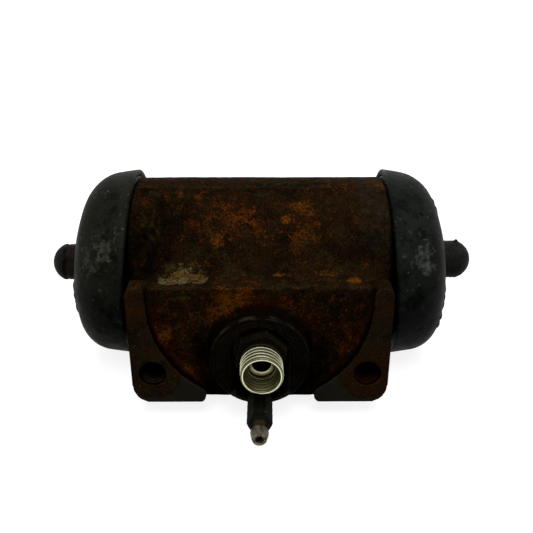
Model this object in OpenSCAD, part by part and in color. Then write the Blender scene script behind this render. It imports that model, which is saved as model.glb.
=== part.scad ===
// Double-acting hydraulic wheel cylinder with push rods, rubber boots, inlet fitting and bleeder.
// X runs along the bore, the mounting face looks to -Y and +Z is up.
// The origin is the middle of the two mounting holes, on the mounting face.

/* [Barrel] */
// Outside diameter of the cast barrel
barrel_d = 76; // [74:0.5:84]
// Diameter of the bore
bore_d = 57.15; // [52:0.05:59]
// How far the barrel's shoulder stands past the mounting pad
shoulder_out = 3.2; // [2:0.1:6]
// Diameter of the neck that carries each boot
neck_d = 70; // [68:0.5:73]
// Length of each neck
neck_len = 11.7; // [10.5:0.1:14]
// Depth of the boot groove in the neck
groove_depth = 2; // [1:0.1:2.5]
// Width of the boot groove
groove_w = 4; // [2:0.1:5]
// Distance from the shoulder to the boot groove
groove_in = 4; // [3.5:0.1:5]
// Chamfer at the mouths of the bore
bore_chamfer = 1.2; // [0.5:0.1:2]
// Width of the cast seam along the barrel
seam_w = 2.4; // [1:0.1:4]
// Height of the cast seam
seam_h = 0.4; // [0.2:0.05:0.8]
// Angle of the seam from the mounting side
seam_angle = 78; // [70:1:110]

/* [Mounting pad] */
// Distance between the two mounting holes
hole_spacing = 84.4; // [78:0.2:92]
// Diameter of the mounting holes before tapping
hole_d = 10.35; // [8.5:0.05:12]
// Depth of the mounting holes
hole_depth = 20; // [14:0.5:24]
// Distance from a hole's centre to the side of the pad
ear_side = 8.4; // [7.5:0.1:10]
// Distance from a hole's centre to the bottom of the pad
ear_foot = 13.6; // [11:0.1:16]
// Height of the bore's axis over the mounting holes
axis_up = 21; // [18:0.1:24]
// Distance from the bore's axis to the mounting face
mount_face = 61.6; // [58:0.1:66]
// Depth of the U-shaped recess between the ears
recess_depth = 7.5; // [4:0.1:9]
// Width of the arms beside the recess
arm_w = 7.6; // [6:0.1:9]
// Height of the arms over the bore's axis
arm_top = 16.5; // [14.5:0.1:19]
// Height of the pad's top ledge over the bore's axis
ledge_top = 12.65; // [8:0.05:14]
// Fillet between the ledge and the barrel
ledge_fillet = 8; // [4:0.5:10]
// How far the arms' backs slope down to the ledge
arm_back = 9; // [6:0.5:12]
// Radius of the outer ear corners
ear_corner = 7.8; // [4:0.1:8.2]
// Half the width of the opening between the ears' noses
nose_half = 21.6; // [20:0.1:25]
// Radius at the tips of the noses
nose_r = 2.5; // [1:0.1:2.8]
// How far the casting's foot between the ears hangs below them
foot_drop = 2.7; // [1.5:0.1:4]
// How far that foot reaches behind the recess's face
foot_back = 12; // [8:0.5:20]
// Radius of the foot's lower edges
foot_round = 2.4; // [0.5:0.1:3.5]

/* [Port boss] */
// Diameter of the boss that centres in the backing plate
boss_d = 38.6; // [36:0.1:39.4]
// Distance of the boss's centre below the bore's axis
boss_down = 14.3; // [13:0.1:16]
// How far the boss stands proud of the mounting face
boss_proud = 2.8; // [1:0.1:6]
// Chamfer round the boss's face
boss_chamfer = 0.9; // [0.3:0.1:1.5]
// Fillet at the foot of the boss
boss_fillet = 3; // [1:0.1:4]
// Depth of the slot in the boss's face
slot_depth = 6; // [3:0.1:8]
// Clearance between the slot's sides and the fitting's hexagon
slot_gap = 0.8; // [0.4:0.05:1.2]
// Width of the boss's rim that closes the slot at its foot
slot_rim = 1.9; // [1.2:0.1:3]

/* [Inlet fitting] */
// Distance of the inlet below the bore's axis
port_down = 10.1; // [8.5:0.1:11]
// Outside diameter of the fitting's threads
fitting_thread_d = 16; // [14:0.5:17]
// Hexagon of the fitting, across its flats
fitting_hex = 18; // [17.5:0.1:19]
// Turn of the hexagon's corner away from upright
fitting_hex_turn = 12; // [0:1:59]
// Length of the hexagon
fitting_hex_len = 7.7; // [5:0.1:10]
// Length of the outer thread
fitting_nose_len = 12.4; // [10.5:0.1:16]
// Length of the inner thread in the body
fitting_root_len = 13; // [9:0.5:15]
// Diameter of the pipe socket
pipe_d = 10; // [8:0.1:10.6]
// Depth of the pipe socket from the fitting's end
pipe_depth = 9; // [8:0.1:10]
// Depth of the cone in the fitting's mouth
mouth_depth = 5.4; // [4:0.1:6.5]
// Diameter at the fitting's mouth
mouth_d = 12.4; // [11.5:0.1:13]
// Edge break outside the mouth
mouth_edge = 0.35; // [0.1:0.05:0.5]
// Diameter of the way through the fitting
way_d = 8; // [5:0.1:8.5]
// Thickness of the sealing washer
washer_t = 1.5; // [1:0.1:2.5]
// Width of the washer's ring
washer_ring = 2.2; // [1.5:0.1:2.4]
// Radial clearance of the inlet thread and its washer
thread_gap = 0.1; // [0.05:0.01:0.2]

/* [Bleeder] */
// Distance of the bleeder below the inlet
bleeder_down = 18.4; // [17.5:0.1:19]
// Thread diameter of the bleeder
bleeder_thread_d = 8; // [6:0.1:8.4]
// Hexagon of the bleeder, across its flats
bleeder_hex = 8; // [7:0.1:9]
// Length of the bleeder's hexagon
bleeder_hex_len = 15.6; // [10:0.1:18]
// Length of the round stem between the body and the hexagon
bleeder_stem_len = 9.1; // [8:0.1:12]
// Length of the thread inside the body
bleeder_root_len = 14; // [9:0.5:16]
// Length of the cone at the front of the hexagon
bleeder_cone_len = 2.6; // [1:0.1:4]
// Diameter of the nipple's neck
nipple_neck_d = 5.2; // [4.4:0.1:5.8]
// Diameter of the nipple's bulb
nipple_bulb_d = 6.75; // [6:0.05:7.5]
// Diameter at the nipple's end
nipple_end_d = 5.3; // [4.5:0.1:6]
// Length of the nipple past the hexagon's cone
nipple_len = 6.9; // [5:0.1:9]
// Diameter of the bleed hole
bleed_hole_d = 3.2; // [1.5:0.1:3.4]
// Radial clearance of the bleeder's thread
bleeder_gap = 0.06; // [0.03:0.01:0.1]

/* [Boots] */
// Thickness of a boot's rim over the neck
rim_wall = 6.75; // [6:0.05:9]
// Gap between the barrel's shoulder and a boot's rim
rim_gap = 2.5; // [1.5:0.1:3]
// Distance from the barrel's shoulder to a boot's end
boot_reach = 28.2; // [26.5:0.1:32]
// Slope of a boot's side
boot_slope = 10; // [6:0.5:13]
// Radius of a boot's corner
boot_corner = 17; // [14:0.5:19]
// Radius of a boot's domed end
boot_dome = 88; // [70:1:120]
// Thickness of a boot's wall
boot_wall = 3.3; // [2.4:0.1:4]
// Length of the lip that grips the push rod
lip_len = 8; // [5:0.1:9]
// Thickness of that lip
lip_t = 4; // [2.5:0.1:5]
// Radial clearance between a boot and the neck
boot_gap = 0.1; // [0.05:0.01:0.2]
// Radial clearance between a boot's lip and its push rod
lip_gap = 0.15; // [0.1:0.01:0.3]
// Edge break on a boot's rim
rim_edge = 0.9; // [0.3:0.1:1.4]

/* [Push rods and pistons] */
// Diameter of the push rods
rod_d = 17; // [15:0.1:18]
// Radius of the domes on both ends of a push rod
rod_dome = 8.9; // [8.6:0.1:11]
// How far a push rod stands out of its boot
rod_out = 13.2; // [10:0.1:18]
// Distance from the barrel's end to a piston's outer face
piston_in = 11.5; // [9:0.1:14]
// Length of a piston
piston_len = 30; // [27:0.5:32]
// Diameter of the rod seat in a piston
seat_d = 23; // [20:0.5:26]
// Depth of the rod seat
seat_depth = 18; // [15:0.5:21]
// Chamfer on a piston's edges
piston_chamfer = 1; // [0.5:0.1:2]
// Radial clearance of a piston in the bore
piston_gap = 0.05; // [0.02:0.01:0.1]
// Gap between a push rod and the bottom of its seat
seat_gap = 0.05; // [0.02:0.01:0.1]

/* [Cups and spring] */
// Length of a piston cup
cup_len = 12; // [10:0.1:14]
// Thickness of a cup's base
cup_base = 5; // [4:0.1:6]
// Thickness of a cup's lip at its edge
cup_lip = 1.9; // [1.2:0.1:2.6]
// Thickness of a cup's lip at its root
cup_root = 6; // [5:0.1:7]
// Sheet thickness of a cup expander
sheet_t = 1.2; // [0.8:0.1:1.6]
// Radius of the expander's centre that holds the spring
centre_r = 10.5; // [9:0.1:12]
// Height of that centre
centre_h = 4; // [3:0.1:5]
// Gap between the expander's rim and the cup's lip
flare_gap = 2.4; // [1.5:0.1:3]
// Wire diameter of the spring
wire_d = 2.2; // [1.6:0.1:2.6]
// Active turns of the spring
spring_turns = 5; // [4:1:6]
// Clearance of the spring to its seats
spring_gap = 0.06; // [0.03:0.01:0.15]

/* [Hidden] */
$fn = 72;
// Spare length for cuts that run clear of a face
past = 1;

// Barrel and pad
pad_half = hole_spacing / 2 + ear_side;
pad_foot = axis_up + ear_foot;
shoulder = pad_half + shoulder_out;
barrel_end = shoulder + neck_len;
recess_face = mount_face - recess_depth;
recess_r = pad_half - arm_w;
recess_up = recess_r - pad_foot;
fillet_up = ledge_top + ledge_fillet;
fillet_out = sqrt(pow(barrel_d / 2 + ledge_fillet, 2) - pow(fillet_up, 2));

// Boss, inlet and bleeder
boss_face = mount_face + boss_proud;
slot_floor = boss_face - slot_depth;
slot_r = fitting_hex / 2 / cos(30) + slot_gap;
hex_back = slot_floor + washer_t;
hex_front = hex_back + fitting_hex_len;
fitting_end = hex_front + fitting_nose_len;
fitting_root = slot_floor - fitting_root_len;
bleeder_z = -port_down - bleeder_down;
bleeder_root = slot_floor - bleeder_root_len;
bleeder_hex_back = slot_floor + bleeder_stem_len;
bleeder_hex_front = bleeder_hex_back + bleeder_hex_len;
nipple_start = bleeder_hex_front + bleeder_cone_len;
nipple_end = nipple_start + nipple_len;
// The last stretch of the bleed way tilts up into the bore
bleed_tilt = 35;
// Where the nipple's bulb starts, is widest and starts to taper, as shares of its length
bulb_foot = 0.2;
bulb_wide = 0.385;
bulb_taper = 0.5;
// How far the fitting's hexagon is turned down at its front, below its corners
hex_turned = 0.6;

// Boots: the corner arc touches both the sloping side and the domed end
rim_x = shoulder + rim_gap;
rim_d = neck_d + 2 * rim_wall;
boot_end = shoulder + boot_reach;
bead_end = shoulder + groove_in + groove_w;
side_out = [cos(boot_slope), sin(boot_slope)];
side_along = [-sin(boot_slope), cos(boot_slope)];
dome_centre = [0, boot_end - boot_dome];
corner_start = [rim_d / 2, rim_x] - boot_corner * side_out;
to_start = corner_start - dome_centre;
along_dome = to_start * side_along;
side_len = -along_dome
    + sqrt(pow(along_dome, 2) - to_start * to_start + pow(boot_dome - boot_corner, 2));
corner_centre = corner_start + side_len * side_along;
dome_dir = (corner_centre - dome_centre) / norm(corner_centre - dome_centre);

// Pistons, cups, expanders and spring, on the right-hand side
piston_out = barrel_end - piston_in;
piston_back = piston_out - piston_len;
piston_r = bore_d / 2 - piston_gap;
seat_pole = piston_out - seat_depth;
rod_root = seat_pole + seat_gap;
rod_tip = boot_end + rod_out;
cup_front = piston_back - cup_len;
cup_floor = piston_back - cup_base;
spring_seat = cup_floor - sheet_t;
wire_sides = 8;
turn_steps = 20;
// The wire is drawn in straight steps, so its inside is measured at the middle of a step
spring_r = (centre_r + spring_gap) / cos(180 / turn_steps) + wire_d / 2;
spring_half = spring_seat - spring_gap - wire_d / 2;
end_pitch = wire_d + spring_gap;
active_pitch = 2 * (spring_half - end_pitch) / spring_turns;

rust_brown = [0.25, 0.15, 0.08];
rubber_black = [0.13, 0.14, 0.14];
rod_brown = [0.22, 0.18, 0.15];
piston_grey = [0.62, 0.62, 0.6];
steel_grey = [0.5, 0.5, 0.48];
zinc_yellow = [0.66, 0.64, 0.52];
copper_brown = [0.5, 0.28, 0.16];
bleeder_dark = [0.24, 0.23, 0.2];

// Places a shape that was drawn about the bore's centre
module in_place() translate([0, mount_face, axis_up]) children();

// Turns a shape drawn along Z to lie along X
module along_bore() rotate([0, 90, 0]) children();

// Turns a shape drawn along Z to face the mounting side, at a height over the bore's axis
module towards_mount(up) translate([0, 0, up]) rotate([90, 0, 0]) children();

// Draws a right-hand shape on its own side, or mirrored on the left
module on_side(side) mirror([side < 0 ? 1 : 0, 0, 0]) children();

// Extrudes a side profile, drawn as depth and height, over the width of the pad
module across(half) rotate([90, 0, 90]) linear_extrude(2 * half, center = true) children();

// Square corner with a round cut out of it, for a rounded edge at the lower right
module corner_waste(r) difference() {
    translate([-r, -past]) square(r + past);
    translate([-r, r]) circle(r);
}

// Cylinder body

module half_barrel() {
    groove = shoulder + groove_in;
    rotate_extrude() polygon([
        [0, 0], [barrel_d / 2, 0], [barrel_d / 2, shoulder], [neck_d / 2, shoulder],
        [neck_d / 2, groove], [neck_d / 2 - groove_depth, groove],
        [neck_d / 2 - groove_depth, groove + groove_w], [neck_d / 2, groove + groove_w],
        [neck_d / 2, barrel_end], [0, barrel_end]]);
}

module barrel() {
    along_bore() {
        half_barrel();
        mirror([0, 0, 1]) half_barrel();
    }
    for (turn = [0, 180]) rotate([-seam_angle + turn, 0, 0])
        translate([-shoulder, -barrel_d / 2 - seam_h, -seam_w / 2])
            cube([2 * shoulder, barrel_d / 2 - bore_d / 2, seam_w]);
}

module pad_side() {
    translate([-recess_face, -pad_foot]) square([recess_face, pad_foot + ledge_top]);
    touch = [-fillet_out, fillet_up] * barrel_d / (barrel_d + 2 * ledge_fillet);
    difference() {
        polygon([[-fillet_out, ledge_top - past], [-fillet_out, fillet_up],
            touch, [touch[0], ledge_top - past]]);
        translate([-fillet_out, fillet_up]) circle(ledge_fillet);
    }
}

module pad_front(top) difference() {
    translate([-pad_half, -pad_foot]) square([2 * pad_half, pad_foot + top]);
    for (side = [0, 1]) mirror([side, 0])
        translate([pad_half, -pad_foot]) corner_waste(ear_corner);
}

module pad() intersection() {
    across(pad_half + past) pad_side();
    towards_mount(0) linear_extrude(recess_face) pad_front(barrel_d / 2);
}

// Edge breaks at the tip of one nose: where it meets the recess and where it meets the foot
module nose_waste() {
    tip = nose_half + nose_r;
    rise = recess_up - sqrt(pow(recess_r + nose_r, 2) - pow(tip, 2));
    touch = [tip, rise] + nose_r * ([0, recess_up] - [tip, rise]) / (recess_r + nose_r);
    difference() {
        polygon([[tip, rise], touch, [nose_half - past, touch[1]], [nose_half - past, rise]]);
        translate([tip, rise]) circle(nose_r);
    }
    translate([nose_half, -pad_foot]) mirror([1, 0]) corner_waste(nose_r);
}

// Foot of the casting between the ears, under the recess's face
module cast_foot() across(nose_half + nose_r)
    translate([-recess_face, -pad_foot - foot_drop]) difference() {
        square([foot_back, foot_drop + past]);
        mirror([1, 0]) corner_waste(foot_round);
        translate([foot_back, 0]) corner_waste(foot_round);
    }

module ear_front() {
    arm_r = arm_w / 2;
    difference() {
        pad_front(arm_top - arm_r);
        translate([0, recess_up]) circle(recess_r);
        translate([-recess_r, recess_up]) square([2 * recess_r, arm_top]);
        translate([-nose_half, -pad_foot - past]) square([2 * nose_half, pad_foot]);
        for (side = [0, 1]) mirror([side, 0]) nose_waste();
    }
    for (side = [-1, 1]) translate([side * (pad_half - arm_r), arm_top - arm_r]) circle(arm_r);
}

module ears() intersection() {
    towards_mount(0) linear_extrude(mount_face) ear_front();
    across(pad_half + past) polygon([
        [-mount_face, -pad_foot - past], [-mount_face, arm_top + past],
        [-recess_face, arm_top + past], [-recess_face, arm_top],
        [-recess_face + arm_back, ledge_top - past], [-recess_face + arm_back, -pad_foot - past]]);
}

module boss() intersection() {
    towards_mount(-boss_down) rotate_extrude() {
        polygon([[0, recess_face - boss_fillet], [boss_d / 2, recess_face - boss_fillet],
            [boss_d / 2, boss_face - boss_chamfer], [boss_d / 2 - boss_chamfer, boss_face],
            [0, boss_face]]);
        difference() {
            translate([boss_d / 2 - past, recess_face - past])
                square([boss_fillet + past, boss_fillet + past]);
            translate([boss_d / 2 + boss_fillet, recess_face + boss_fillet]) circle(boss_fillet);
        }
    }
    across(boss_d) translate([-boss_face - past, -pad_foot])
        square([boss_face + past, pad_foot + ledge_top]);
}

module mount_hole()
    translate([0, 0, mount_face - hole_depth]) cylinder(d = hole_d, h = hole_depth + past);

// Slot about the inlet: round at its top, and closed at its foot by the boss's rim
module slot_front() {
    circle(slot_r);
    intersection() {
        translate([-slot_r, -pad_foot]) square([2 * slot_r, pad_foot]);
        translate([0, port_down - boss_down]) circle(boss_d / 2 - slot_rim);
    }
}

module inlet_way() {
    tapped_r = fitting_thread_d / 2 + thread_gap;
    translate([0, 0, fitting_root - past]) cylinder(r = tapped_r, h = fitting_root_len + 2 * past);
    cylinder(d = way_d, h = fitting_root);
}

module bleed_way() {
    bleed_r = bleeder_thread_d / 2 + bleeder_gap;
    seat_len = bleed_r - bleed_hole_d / 2;
    translate([0, 0, bleeder_root])
        cylinder(r = bleed_r, h = boss_face - bleeder_root + past);
    translate([0, 0, bleeder_root - seat_len])
        cylinder(r1 = bleed_hole_d / 2, r2 = bleed_r, h = seat_len);
    translate([0, 0, bleeder_root - seat_len]) rotate([bleed_tilt, 0, 0])
        translate([0, 0, -bore_d / 2]) cylinder(d = bleed_hole_d, h = bore_d / 2);
}

module cylinder_body() color(rust_brown) in_place() difference() {
    union() {
        barrel();
        pad();
        ears();
        cast_foot();
        boss();
    }
    along_bore() cylinder(d = bore_d, h = 2 * barrel_end + 2 * past, center = true);
    for (side = [0, 1]) mirror([side, 0, 0]) along_bore() translate([0, 0, barrel_end - bore_chamfer])
        cylinder(d1 = bore_d, d2 = bore_d + 2 * (bore_chamfer + past), h = bore_chamfer + past);
    for (side = [-1, 1]) translate([side * hole_spacing / 2, 0, 0])
        towards_mount(-axis_up) mount_hole();
    towards_mount(-port_down) translate([0, 0, slot_floor])
        linear_extrude(slot_depth + past) slot_front();
    towards_mount(-port_down) inlet_way();
    towards_mount(bleeder_z) bleed_way();
}

// Boots

// Section of a boot's skin, set in from the outside by a distance
module boot_section(inset) {
    side_foot = [rim_d / 2, rim_x] - inset * side_out;
    side_top = corner_centre + (boot_corner - inset) * side_out;
    dome_edge = dome_centre + (boot_dome - inset) * dome_dir;
    intersection() {
        translate([0, rim_x]) square([rim_d, boot_reach]);
        union() {
            polygon([[0, rim_x], [side_foot[0] + (side_foot[1] - rim_x) * tan(boot_slope), rim_x],
                side_top, dome_edge, [0, dome_edge[1]]]);
            translate(corner_centre) circle(boot_corner - inset);
            intersection() {
                translate(dome_centre) circle(boot_dome - inset);
                translate([0, rim_x]) square([dome_edge[0], boot_reach]);
            }
        }
    }
}

module boot_profile() {
    neck_r = neck_d / 2 + boot_gap;
    lip_r = rod_d / 2 + lip_gap;
    intersection() {
        boot_section(0);
        union() {
            difference() {
                boot_section(0);
                intersection() {
                    boot_section(boot_wall);
                    translate([0, bead_end]) square([rim_d, boot_reach]);
                }
                translate([0, rim_x - past]) square([neck_r, bead_end - rim_x + past]);
                translate([0, rim_x]) square([lip_r, boot_reach]);
                translate([rim_d / 2, rim_x]) rotate(45) square(rim_edge * sqrt(2), center = true);
            }
            translate([neck_r - groove_depth, bead_end - groove_w + boot_gap])
                square([groove_depth + past, groove_w - boot_gap]);
            translate([lip_r, boot_end - lip_len]) square([lip_t, lip_len]);
        }
    }
}

module boot(side) color(rubber_black) in_place() on_side(side) along_bore()
    rotate_extrude() boot_profile();
module left_boot() boot(-1);
module right_boot() boot(1);

// Push rods and pistons

module push_rod(side) color(rod_brown) in_place() on_side(side) along_bore() rotate_extrude()
    intersection() {
        translate([0, rod_root]) square([rod_d / 2, rod_tip - rod_root]);
        union() {
            translate([0, rod_root + rod_dome]) square([rod_d / 2, rod_tip - rod_root - 2 * rod_dome]);
            for (end = [rod_root + rod_dome, rod_tip - rod_dome]) translate([0, end]) circle(rod_dome);
        }
    }
module left_push_rod() push_rod(-1);
module right_push_rod() push_rod(1);

module piston(side) color(piston_grey) in_place() on_side(side) along_bore() rotate_extrude()
    difference() {
        polygon([[0, piston_back], [piston_r - piston_chamfer, piston_back],
            [piston_r, piston_back + piston_chamfer], [piston_r, piston_out - piston_chamfer],
            [piston_r - piston_chamfer, piston_out], [0, piston_out]]);
        intersection() {
            union() {
                translate([0, seat_pole + seat_d / 2]) circle(d = seat_d);
                translate([0, seat_pole + seat_d / 2]) square([seat_d / 2, seat_depth]);
            }
            translate([0, seat_pole - past]) square([seat_d, seat_depth + 2 * past]);
        }
    }
module left_piston() piston(-1);
module right_piston() piston(1);

// Cups, expanders and spring

module piston_cup(side) color(rubber_black) in_place() on_side(side) along_bore()
    rotate_extrude() polygon([
        [0, piston_back], [piston_r - piston_chamfer, piston_back],
        [piston_r, piston_back - piston_chamfer], [piston_r, cup_front],
        [piston_r - cup_lip, cup_front], [piston_r - cup_root, cup_floor], [0, cup_floor]]);
module left_piston_cup() piston_cup(-1);
module right_piston_cup() piston_cup(1);

module cup_expander(side) {
    rim_r = piston_r - cup_lip - flare_gap;
    foot_r = piston_r - cup_root - flare_gap;
    flare_top = cup_front + sheet_t;
    color(steel_grey) in_place() on_side(side) along_bore() rotate_extrude() polygon([
        [0, spring_seat - centre_h + sheet_t], [centre_r, spring_seat - centre_h + sheet_t],
        [centre_r, spring_seat], [foot_r - sheet_t / 2, spring_seat],
        [rim_r - sheet_t, flare_top], [rim_r, flare_top], [foot_r + sheet_t / 2, cup_floor],
        [centre_r - sheet_t, cup_floor], [centre_r - sheet_t, cup_floor - centre_h + sheet_t],
        [0, cup_floor - centre_h + sheet_t]]);
}
module left_cup_expander() cup_expander(-1);
module right_cup_expander() cup_expander(1);

// Height of the wire's centre after a number of turns: closed end turns with open ones between
function wire_x(turn) =
    turn < 1 ? -spring_half + turn * end_pitch
    : turn > spring_turns + 1 ? spring_half - (spring_turns + 2 - turn) * end_pitch
    : -spring_half + end_pitch + (turn - 1) * active_pitch;

module spring_wire() {
    rings = (spring_turns + 2) * turn_steps;
    points = [for (i = [0 : rings], k = [0 : wire_sides - 1])
        let (turn = i / turn_steps, a = 360 * k / wire_sides,
            r = spring_r + wire_d / 2 * cos(a))
        [r * cos(360 * turn), r * sin(360 * turn), wire_x(turn) + wire_d / 2 * sin(a)]];
    skin = [for (i = [0 : rings - 1], k = [0 : wire_sides - 1])
        let (a = i * wire_sides + k, b = i * wire_sides + (k + 1) % wire_sides)
        [a, b, b + wire_sides, a + wire_sides]];
    polyhedron(points, concat(skin, [
        [for (k = [wire_sides - 1 : -1 : 0]) k],
        [for (k = [0 : wire_sides - 1]) rings * wire_sides + k]]));
}
module cup_spring() color(steel_grey) in_place() along_bore() spring_wire();

// Inlet fitting with its washer, and bleeder

module fitting_solid() {
    edge_r = fitting_thread_d / 2;
    translate([0, 0, fitting_root]) cylinder(r = edge_r, h = hex_back - fitting_root);
    intersection() {
        translate([0, 0, hex_back]) rotate(90 - fitting_hex_turn)
            cylinder(d = fitting_hex / cos(30), h = fitting_hex_len, $fn = 6);
        translate([0, 0, hex_back]) cylinder(r1 = slot_r - slot_gap + fitting_hex_len,
            r2 = slot_r - slot_gap - hex_turned, h = fitting_hex_len);
    }
    translate([0, 0, hex_front - past]) cylinder(r = edge_r, h = fitting_nose_len + past - mouth_edge);
    translate([0, 0, fitting_end - mouth_edge])
        cylinder(r1 = edge_r, r2 = edge_r - mouth_edge, h = mouth_edge);
}

module inlet_fitting() color(zinc_yellow) in_place() towards_mount(-port_down) difference() {
    fitting_solid();
    translate([0, 0, fitting_root - past])
        cylinder(d = way_d, h = fitting_end - fitting_root + 2 * past);
    translate([0, 0, fitting_end - pipe_depth]) cylinder(d = pipe_d, h = pipe_depth + past);
    mouth_run = (mouth_d - pipe_d) / mouth_depth;
    translate([0, 0, fitting_end - mouth_depth])
        cylinder(d1 = pipe_d, d2 = mouth_d + past * mouth_run, h = mouth_depth + past);
}

module fitting_washer() color(copper_brown) in_place() towards_mount(-port_down)
    translate([0, 0, slot_floor]) difference() {
        cylinder(r = fitting_thread_d / 2 + thread_gap + washer_ring, h = washer_t);
        translate([0, 0, -past]) cylinder(r = fitting_thread_d / 2 + thread_gap, h = washer_t + 2 * past);
    }

module bleeder_solid() {
    stem_r = bleeder_thread_d / 2;
    tip_r = bleed_hole_d / 2;
    corner_r = bleeder_hex / 2 / cos(30);
    translate([0, 0, bleeder_root - stem_r + tip_r + bleeder_gap])
        cylinder(r1 = tip_r, r2 = stem_r, h = stem_r - tip_r);
    translate([0, 0, bleeder_root + bleeder_gap])
        cylinder(r = stem_r, h = bleeder_hex_back - bleeder_root - bleeder_gap);
    translate([0, 0, bleeder_hex_back]) intersection() {
        cylinder(r = corner_r, h = bleeder_hex_len + bleeder_cone_len, $fn = 6);
        union() {
            cylinder(r = corner_r + past, h = bleeder_hex_len);
            translate([0, 0, bleeder_hex_len])
                cylinder(r1 = corner_r, r2 = nipple_neck_d / 2, h = bleeder_cone_len);
        }
    }
    translate([0, 0, nipple_start]) rotate_extrude() polygon([
        [0, -past], [nipple_neck_d / 2, -past], [nipple_neck_d / 2, bulb_foot * nipple_len],
        [nipple_bulb_d / 2, bulb_wide * nipple_len], [nipple_bulb_d / 2, bulb_taper * nipple_len],
        [nipple_end_d / 2, nipple_len], [0, nipple_len]]);
}

module bleeder_screw() color(bleeder_dark) in_place() towards_mount(bleeder_z) difference() {
    bleeder_solid();
    translate([0, 0, bleeder_root + bleeder_thread_d / 2])
        cylinder(d = bleed_hole_d, h = nipple_end - bleeder_root);
    translate([0, 0, bleeder_root + bleeder_thread_d / 2]) rotate([0, 90, 0])
        cylinder(d = bleed_hole_d / 2, h = bleeder_thread_d + 2 * past, center = true);
}

cylinder_body();
left_boot();
right_boot();
left_push_rod();
right_push_rod();
left_piston();
right_piston();
left_piston_cup();
right_piston_cup();
left_cup_expander();
right_cup_expander();
cup_spring();
inlet_fitting();
fitting_washer();
bleeder_screw();
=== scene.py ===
import math

import bmesh
import bpy
import numpy as np
from mathutils import Matrix, Vector


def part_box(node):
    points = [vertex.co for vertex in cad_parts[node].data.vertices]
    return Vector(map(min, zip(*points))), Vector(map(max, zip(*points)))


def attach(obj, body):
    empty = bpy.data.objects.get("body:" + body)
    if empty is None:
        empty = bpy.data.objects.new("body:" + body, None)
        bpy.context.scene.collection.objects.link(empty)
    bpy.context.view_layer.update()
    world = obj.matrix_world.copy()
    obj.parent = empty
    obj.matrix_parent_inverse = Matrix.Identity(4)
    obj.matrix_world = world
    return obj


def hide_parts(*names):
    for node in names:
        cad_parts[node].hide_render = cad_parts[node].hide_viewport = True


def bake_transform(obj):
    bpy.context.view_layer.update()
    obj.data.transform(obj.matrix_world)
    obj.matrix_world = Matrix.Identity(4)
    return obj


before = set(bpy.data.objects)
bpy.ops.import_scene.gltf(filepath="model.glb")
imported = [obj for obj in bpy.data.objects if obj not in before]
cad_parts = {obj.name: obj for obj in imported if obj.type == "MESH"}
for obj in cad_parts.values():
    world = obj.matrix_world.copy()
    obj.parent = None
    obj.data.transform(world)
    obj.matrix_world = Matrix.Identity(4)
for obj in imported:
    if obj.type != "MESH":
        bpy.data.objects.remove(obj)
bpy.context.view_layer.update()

scene = bpy.context.scene
mm = 0.001
fullTurn = 2 * math.pi
white = (1, 1, 1, 1)

pistonLow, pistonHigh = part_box("left_piston")
boreY, boreZ = (pistonLow.y + pistonHigh.y) / 2, (pistonLow.z + pistonHigh.z) / 2  # the bore's axis


def at(x, depth, up):  # millimetres about the bore's centre, depth towards the mounting side
    return (x * mm, boreY - depth * mm, boreZ + up * mm)


def fromBore(points):  # the same the other way round
    return points[:, 0] / mm, (boreY - points[:, 1]) / mm, (points[:, 2] - boreZ) / mm


def tone(red, green, blue):  # a colour by how it should look, 0 to 255
    parts = [c / 255 for c in (red, green, blue)]
    return (*[((c + 0.055) / 1.055) ** 2.4 if c > 0.04045 else c / 12.92 for c in parts], 1.0)


def smooth(value, low, high):
    t = np.clip((value - low) / (high - low), 0, 1)
    return t * t * (3 - 2 * t)


def picked(plan, names):
    return [plan[name] for name in names.split()]


# Node helpers, for shader and geometry trees alike

def isSocket(value):
    return isinstance(value, bpy.types.NodeSocket)


def treeOf(*values):
    return next(value.id_data for value in values if isSocket(value))


def plug(value, socket):
    if isSocket(value):
        socket.id_data.links.new(value, socket)
    else:
        socket.default_value = value


def addNode(tree, kind, inputs=None, **settings):
    node = tree.nodes.new(kind)
    for key, value in settings.items():
        setattr(node, key, value)
    for key, value in (inputs or {}).items():
        plug(value, node.inputs[key])
    return node


def put(tree, kind, inputs=None, out=0, **settings):  # adds a node and gives one of its outputs
    return addNode(tree, kind, inputs, **settings).outputs[out]


def maths(operation, a, b=0.0):
    return put(treeOf(a, b), "ShaderNodeMath", {0: a, 1: b}, operation=operation)


def plus(a, b):
    return maths("ADD", a, b)


def less(a, b):
    return maths("SUBTRACT", a, b)


def times(a, b):
    return maths("MULTIPLY", a, b)


def band(value, low, high, most=1.0):  # 0 below low, most above high, soft between
    return put(value.id_data, "ShaderNodeMapRange", {"Value": value, "From Min": low, "From Max": high, "To Max": most},
               interpolation_type="SMOOTHSTEP")


def ranged(value, toLow, toHigh, low=0.0, high=1.0):  # straight from one range to another
    return put(value.id_data, "ShaderNodeMapRange", {
        "Value": value, "From Min": low, "From Max": high, "To Min": toLow, "To Max": toHigh})


def mixed(share, a, b, blend="MIX"):  # plain triples are tones
    a, b = [tone(*part) if isinstance(part, tuple) else part for part in (a, b)]
    return put(treeOf(share, a, b), "ShaderNodeMix", {0: share, 6: a, 7: b}, 2, data_type="RGBA", blend_type=blend)


def layered(colour, *layers):  # lays colours over the first, each by its share
    for share, top in layers:
        colour = mixed(share, colour, top)
    return colour


def shaded(colour, factor):
    return mixed(1.0, colour, factor, "MULTIPLY")


def cloud(where, scale, detail=4.0, rough=0.55, seed=0.0):
    return put(where.id_data, "ShaderNodeTexNoise", {
        "Vector": where, "Scale": scale, "Detail": detail, "Roughness": rough, "W": seed}, noise_dimensions="4D")


def frayed(value, where, scale, amount, seed):  # breaks up the border of a soft mask
    return plus(value, times(less(cloud(where, scale, 5, 0.65, seed), 0.5), amount))


def field(tree, name):  # a value that the mesh carries
    return put(tree, "ShaderNodeAttribute", out="Fac", attribute_name=name)


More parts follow.
